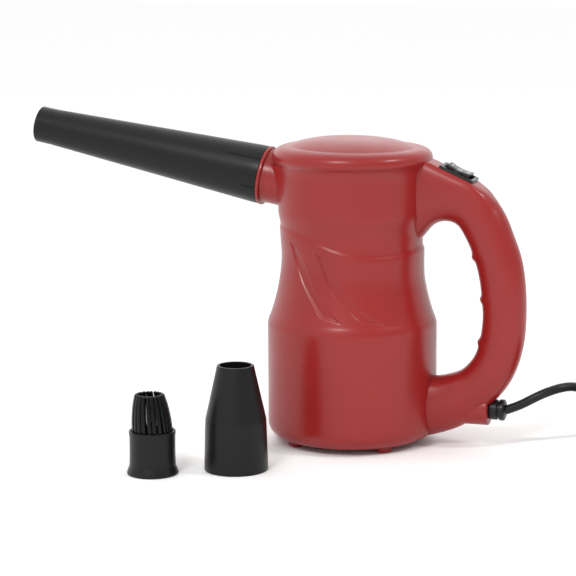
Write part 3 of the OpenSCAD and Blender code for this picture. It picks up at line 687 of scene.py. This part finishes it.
def make_marks():
    """One stroke, a ring and two strokes, standing just over the rocker's top."""
    b = Build()
    sunk, proud = -0.2, 0.07

    def on_top(x, y, lift):
        return [x, y, rocker_top(x) + lift]

    for x0 in (-6.6, 5.9, 7.3):
        base = [(x0 - 0.32, -1.9), (x0 + 0.32, -1.9), (x0 + 0.32, 1.9), (x0 - 0.32, 1.9)]
        loops = np.array([[on_top(x, y, lift) for x, y in base] for lift in (sunk, proud)])
        b.grid(placed(loops, LAND), wrap=True)
        b.cap(placed(loops[1], LAND))
    ring = np.array([[on_top(r * math.cos(t), 1.25 * r * math.sin(t), lift) for t in full_turn(40)]
                     for r, lift in ((1.75, sunk), (1.7, proud), (1.15, proud), (1.1, sunk))])
    b.grid(placed(ring, LAND), wrap=True)
    b.object("rocker_marks", "rocker", "mark_white", "black_plastic")


make_bezel()
make_rocker()
make_marks()

# ---------------------------------------------------------------- nozzles

SLITS, SLIT_HALF_WIDTH, LONG_SLIT, SHORT_SLIT = 6, 0.22, 30, 14
CONE = Matrix.Translation((-55.6, -116.2, 0))
BRUSH = Matrix.Translation((-110.4, -144.3, 0))
TINES = 22


def make_long_nozzle():
    """The long tapered nozzle, with long and short slits by turns at its wide end."""
    b = Build()
    b.turned(rounded([[20.0, 0.1, 0.6], [22.5, 0.1, 0.5], [22.42, 6], [22.05, 13.2], [14.05, 176.5, 30],
                      [14.0, 188.9, 0.55], [12.1, 188.9, 0.5], [12.0, 176.8], [18.8, 31],
                      [20.0, 30]], 7), OUTLET, 192)
    nozzle = b.object("long_nozzle_body", "long_nozzle", "black_plastic", replaces=["long_nozzle"])
    cuts = Build()
    w = SLIT_HALF_WIDTH
    loop = np.array([[18, -w, -2], [26, -w, -2], [26, w, -2], [18, w, -2]])
    quads = [[0, 1, 5, 4], [1, 2, 6, 5], [2, 3, 7, 6], [3, 0, 4, 7], [3, 2, 1, 0], [4, 5, 6, 7]]
    for k in range(SLITS):
        turn = Matrix.Rotation(math.radians(-50 - 360 / SLITS * k), 4, "Z")
        top = loop + [0, 0, SHORT_SLIT if k % 2 else LONG_SLIT]
        cuts.add(placed(np.array([loop, top]), OUTLET @ turn), quads)
    cut(nozzle, linked("slit_cutters", cuts.mesh("slit_cutters")))


def cut(ob, cutter):
    """Cuts one object with another and throws the cutter away."""
    mod = ob.modifiers.new("cut", "BOOLEAN")
    mod.operation, mod.solver, mod.object = "DIFFERENCE", "EXACT", cutter
    bpy.context.view_layer.update()
    done = bpy.data.meshes.new_from_object(ob.evaluated_get(bpy.context.evaluated_depsgraph_get()))
    ob.modifiers.clear()
    ob.data = done
    shade(done, 38)
    bpy.data.objects.remove(cutter)


def make_cone():
    b = Build()
    b.turned(rounded([[20.0, 0, 0.5], [23.2, 0, 0.8], [23.5, 1.4, 0.8], [23.5, 3.5, 3], [22.4, 38, 16],
                      [13.5, 78.3, 0.7], [11.5, 78.3, 0.6], [19.1, 38, 10], [20.0, 30, 0.5]], 8), CONE, 160)
    b.object("cone_nozzle_body", "cone_nozzle", "black_plastic", replaces=["cone_nozzle"])


def make_collar():
    b = Build()
    b.turned(rounded([[14.1, 0, 0.5], [18.3, 0, 0.7], [18.9, 1.3, 0.6], [18.3, 3.2, 1.5], [17.0, 6.6, 3],
                      [16.75, 12, 3], [16.7, 27.5, 3], [17.1, 31.6, 0.5], [16.9, 32.3, 0.3],
                      [15.4, 32.3, 0.3], [15.3, 28.3], [12.5, 26.3], [12.5, 15.5], [14.1, 14.0]], 6), BRUSH)
    b.object("brush_collar_body", "brush_nozzle", "black_plastic", replaces=["brush_collar"])


def make_tines():
    """A ring of thick tines that draw together upwards; the whole crown leans slightly."""
    b = Build()
    b.turned(rounded([[12.6, 28.4], [15.3, 28.4], [15.3, 31.3, 0.4], [12.6, 31.3, 0.4]]), BRUSH, 96)
    line = cubic([(13.6, 29.5), (13.55, 35), (12.95, 42), (11.8, 49.5), (10.4, 55.5), (9.5, 58.5)], 4)
    n = len(line)
    a = full_turn(14)
    for k in range(TINES):
        turn = BRUSH @ Matrix.Rotation(math.radians(360 * k / TINES + 4 + 1.2 * math.sin(k * 2.3)), 4, "Z")
        wobble = 0.15 * math.sin(k * 1.7)
        rings = []
        for i, (r, z) in enumerate(line):
            t = i / (n - 1)
            wide, thick = 1.62 - 0.26 * t, 1.15 + 0.25 * t
            px = r + wobble * t + thick * np.sign(np.cos(a)) * np.abs(np.cos(a)) ** 0.75
            py = (wide * (1 + 0.09 * np.cos(a))) * np.sign(np.sin(a)) * np.abs(np.sin(a)) ** 0.7
            rings.append(np.stack([px, py, np.full(len(a), z)], 1))
        last = rings[-1]
        mid = last.mean(0)
        for shrink, up in ((0.86, 0.45), (0.6, 0.78), (0.25, 0.93)):
            rings.append(mid + (last - mid) * shrink + [0, 0, up])
        rings = placed(np.array(rings), turn)
        lean = np.clip(rings[..., 2] - 33, 0, None) * 0.065
        rings[..., 0] -= lean * 0.96
        rings[..., 1] -= lean * 0.28
        b.grid(rings, wrap=True)
        b.cap(rings[-1])
        b.cap(rings[0], flip=True)
    b.object("brush_tine_crown", "brush_nozzle", "bristle", replaces=["brush_tines"], sharp=60)


make_long_nozzle()
make_cone()
make_collar()
make_tines()

# ---------------------------------------------------------------- cord, bushing and plug

ALONG_X = Matrix.Translation((0, 0, CORD_Z)) @ Matrix.Rotation(math.pi / 2, 4, "Y")
CORD_R = 3.5


def make_bushing():
    """The snap-in bushing: a collar against the boss, a groove and an end flange."""
    b = Build()
    b.turned(rounded([[CORD_R, 98.8], [6.2, 98.8, 0.3], [6.2, 108.9], [7.2, 108.9, 0.4], [7.7, 110.6, 0.5],
                      [7.8, 115.2, 0.5], [6.3, 115.5, 0.2], [6.3, 116.6, 0.2], [8.1, 116.9, 0.6],
                      [8.1, 120.4, 0.8], [6.3, 121.2, 0.4], [3.9, 121.2, 0.4],
                      [CORD_R, 120.4, 0.3]], 4), ALONG_X, 80)
    return b.object("cord_grommet", "blower", "cord_rubber", replaces=["cord_bushing"])


COIL_MID, PLUG_X, PLUG_Y, PLUG_BOTTOM, PLUG_MID = (246, 44), 283, 32, 21, 7.5
# The cord from the bushing to the coil, as given points: out, up a little, and down behind
ROUTE = [
    [121.2, 0, 30], [133, 0.5, 35], [145, 2.5, 41.5], [156, 7.5, 46], [165.5, 15.5, 47.5], [172.8, 25.5, 45],
    [177.4, 35, 38.8], [180.6, 44, 30], [183.6, 53.4, 20.4], [187.8, 63.2, 11.8], [194, 74.4, 5.7]]
# Where the cord steps to the next column or layer of turns, in degrees wound: start, end, radius, height
COIL_STEPS = [
    (0, 100, 52.5, 3.5), (270, 370, 45.5, 3.5), (630, 730, 38.5, 3.5), (990, 1090, 31.5, 3.5),
    (1245, 1345, 31.5, 10.5), (1505, 1605, 38.5, 10.5), (1865, 1965, 45.5, 10.5), (2225, 2325, 52.5, 10.5),
    (2500, 2580, 52.5, 17.5), (2755, 2855, 45.5, 17.5), (3115, 3215, 38.5, 17.5), (3475, 3575, 31.5, 17.5),
    (3785, 3900, 31.5, 24.5), (3948, 4068, 31.5, 28.5), (3988, 4098, 37, 28.5)]
COIL_ENTRY_R, COIL_START = 60, 138.4
COIL_END = COIL_START + 360 * 11


def coil_points():
    """The coil from where the cord lies beside it, wound clockwise seen from above, to the plug's tail."""
    rows = []
    for turned in np.arange(8, COIL_END + 0.1, 6.0):
        r, z = COIL_ENTRY_R, CORD_R
        for start, end, to_r, to_z in COIL_STEPS:
            t = float(smooth((turned - start) / (end - start)))
            r, z = r + (to_r - r) * t, z + (to_z - z) * t
        a = math.radians(COIL_START - turned)
        rows.append([COIL_MID[0] + r * math.cos(a), COIL_MID[1] + r * math.sin(a), z])
    return rows


def make_cord(pieces):
    into_plug = [PLUG_X, PLUG_Y + 11.0, PLUG_BOTTOM + PLUG_MID]
    line = np.vstack([cubic(ROUTE + coil_points(), 3), into_plug])
    curve = bpy.data.curves.new("power_cord_line", "CURVE")
    curve.dimensions = "3D"
    curve.bevel_depth = CORD_R * MM
    curve.bevel_resolution = 5
    curve.use_fill_caps = True
    spline = curve.splines.new("POLY")
    spline.points.add(len(line) - 1)
    for point, p in zip(spline.points, line):
        point.co = (*[c * MM for c in p], 1)
    spline.use_smooth = True
    curve.materials.append(MATS["cord_rubber"])
    cord = linked("power_cord_line", curve)
    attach(cord, "blower")
    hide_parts("power_cord", "cord_coil")


# Cross-sections of the plug moulding from the cord to its face: place along it, width, height, corner radius
PLUG_SECTIONS = [
    (-12.9, 8.0, 8.0, 3.9), (-12.6, 9.0, 9.0, 4.4), (-10.9, 9.2, 9.2, 4.5), (-10.6, 8.2, 8.2, 4.0),
    (-9.6, 8.2, 8.2, 4.0), (-9.3, 9.8, 9.6, 4.6), (-7.5, 10.0, 9.8, 4.7), (-7.2, 8.8, 8.6, 4.2),
    (-6.2, 8.9, 8.7, 4.2), (-5.9, 10.8, 10.2, 4.8), (-4.2, 11.2, 10.6, 4.9), (-3.2, 12.2, 11.0, 4.9),
    (-1.0, 14.8, 12.4, 4.8), (1.5, 18.0, 13.9, 4.4), (4.0, 20.0, 14.7, 3.8), (7, 20.6, 14.9, 3.4),
    (12, 19.8, 14.2, 3.2), (16, 20.4, 14.7, 3.2), (19.4, 21.0, 15.0, 3.2), (20.6, 20.6, 14.6, 3.0),
    (21.08, 19.6, 13.6, 2.6)]


def make_plug():
    """The plug lying on the coil: its moulding with a ribbed neck, and two flat blades."""
    place = Matrix.Translation((PLUG_X, PLUG_Y, PLUG_BOTTOM)) @ Matrix.Rotation(-math.pi / 2, 4, "Z")
    turn = Matrix(((0, 0, 1, 0), (1, 0, 0, 0), (0, 1, 0, PLUG_MID), (0, 0, 0, 1)))
    b = Build()
    rings = np.array([rounded_box(w, h, r, x, 7) for x, w, h, r in PLUG_SECTIONS])
    rings = placed(placed(rings, turn), place)
    b.grid(rings, wrap=True)
    b.cap(rings[0], flip=True)
    b.cap(rings[-1])
    body = b.object("plug_moulding", "blower", "cord_rubber", replaces=["plug_body"], sharp=40)
    b = Build()
    for y, tall in ((-6.35, 6.3), (6.35, 7.9)):
        rings = [rounded_box(1.5, tall, 0.3, x, 3) for x in (19, 36.6)]
        rings += [rounded_box(1.2, tall - 0.8, 0.3, 37.9, 3), rounded_box(0.7, tall - 2.0, 0.3, 38.5, 3)]
        rings = placed(placed(np.array(rings) + [y, 0, 0], turn), place)
        b.grid(rings, wrap=True)
        b.cap(rings[-1])
        b.cap(rings[0], flip=True)
    blades = b.object("plug_contacts", "blower", "brass", replaces=["plug_blades"], sharp=30)
    return [body, blades]


grommet = make_bushing()
make_cord([grommet, *make_plug()])

# ---------------------------------------------------------------- floor and light


def make_floor():
    mesh = bpy.data.meshes.new("floor")
    s = 6.0  # metres
    mesh.from_pydata([(-s, -s, 0), (s, -s, 0), (s, s, 0), (-s, s, 0)], [], [(0, 1, 2, 3)])
    pale = Nodes("floor").set(Base_Color=(0.92, 0.92, 0.92), Roughness=0.9, Specular_IOR_Level=0.1)
    mesh.materials.append(pale)
    linked("floor", mesh)


def make_world():
    """A white surround, brighter behind the object and dimmer to its right."""
    world = bpy.data.worlds.new("world")
    bpy.context.scene.world = world
    world.use_nodes = True
    world.node_tree.nodes["Background"].inputs["Color"].default_value = (1, 1, 1, 1)
    tree = world.node_tree
    axes = tree.nodes.new("ShaderNodeSeparateXYZ")
    tree.links.new(tree.nodes.new("ShaderNodeTexCoord").outputs["Generated"], axes.inputs[0])
    product = tree.nodes.new("ShaderNodeMath")
    product.operation = "MULTIPLY"
    ramps = (("Y", -0.2, 1.0, 1.05, 1.35), ("X", -0.1, 0.9, 1.05, 0.6))
    for i, (axis, low, high, to_low, to_high) in enumerate(ramps):
        ramp = tree.nodes.new("ShaderNodeMapRange")
        for socket, v in (("From Min", low), ("From Max", high), ("To Min", to_low), ("To Max", to_high)):
            ramp.inputs[socket].default_value = v
        tree.links.new(axes.outputs[axis], ramp.inputs["Value"])
        tree.links.new(ramp.outputs["Result"], product.inputs[i])
    tree.links.new(product.outputs[0], tree.nodes["Background"].inputs["Strength"])


def make_lights():
    """Two soft panels that face the middle of the body, placed and sized in metres."""
    aim = Vector((0, 0, 0.15))
    for name, at, size, power in (("key", (-0.15, -1.3, 1.25), (0.4, 0.2), 10),
                                  ("fill", (1.3, -0.15, 1.3), (0.3, 0.2), 8)):
        light = bpy.data.lights.new(name, "AREA")
        light.shape, (light.size, light.size_y) = "RECTANGLE", size
        light.energy = power
        panel = linked(name, light)
        panel.location = at
        panel.rotation_euler = (aim - Vector(at)).to_track_quat("-Z", "Y").to_euler()


make_floor()
make_world()
make_lights()
bpy.context.scene.view_settings.view_transform = "Standard"
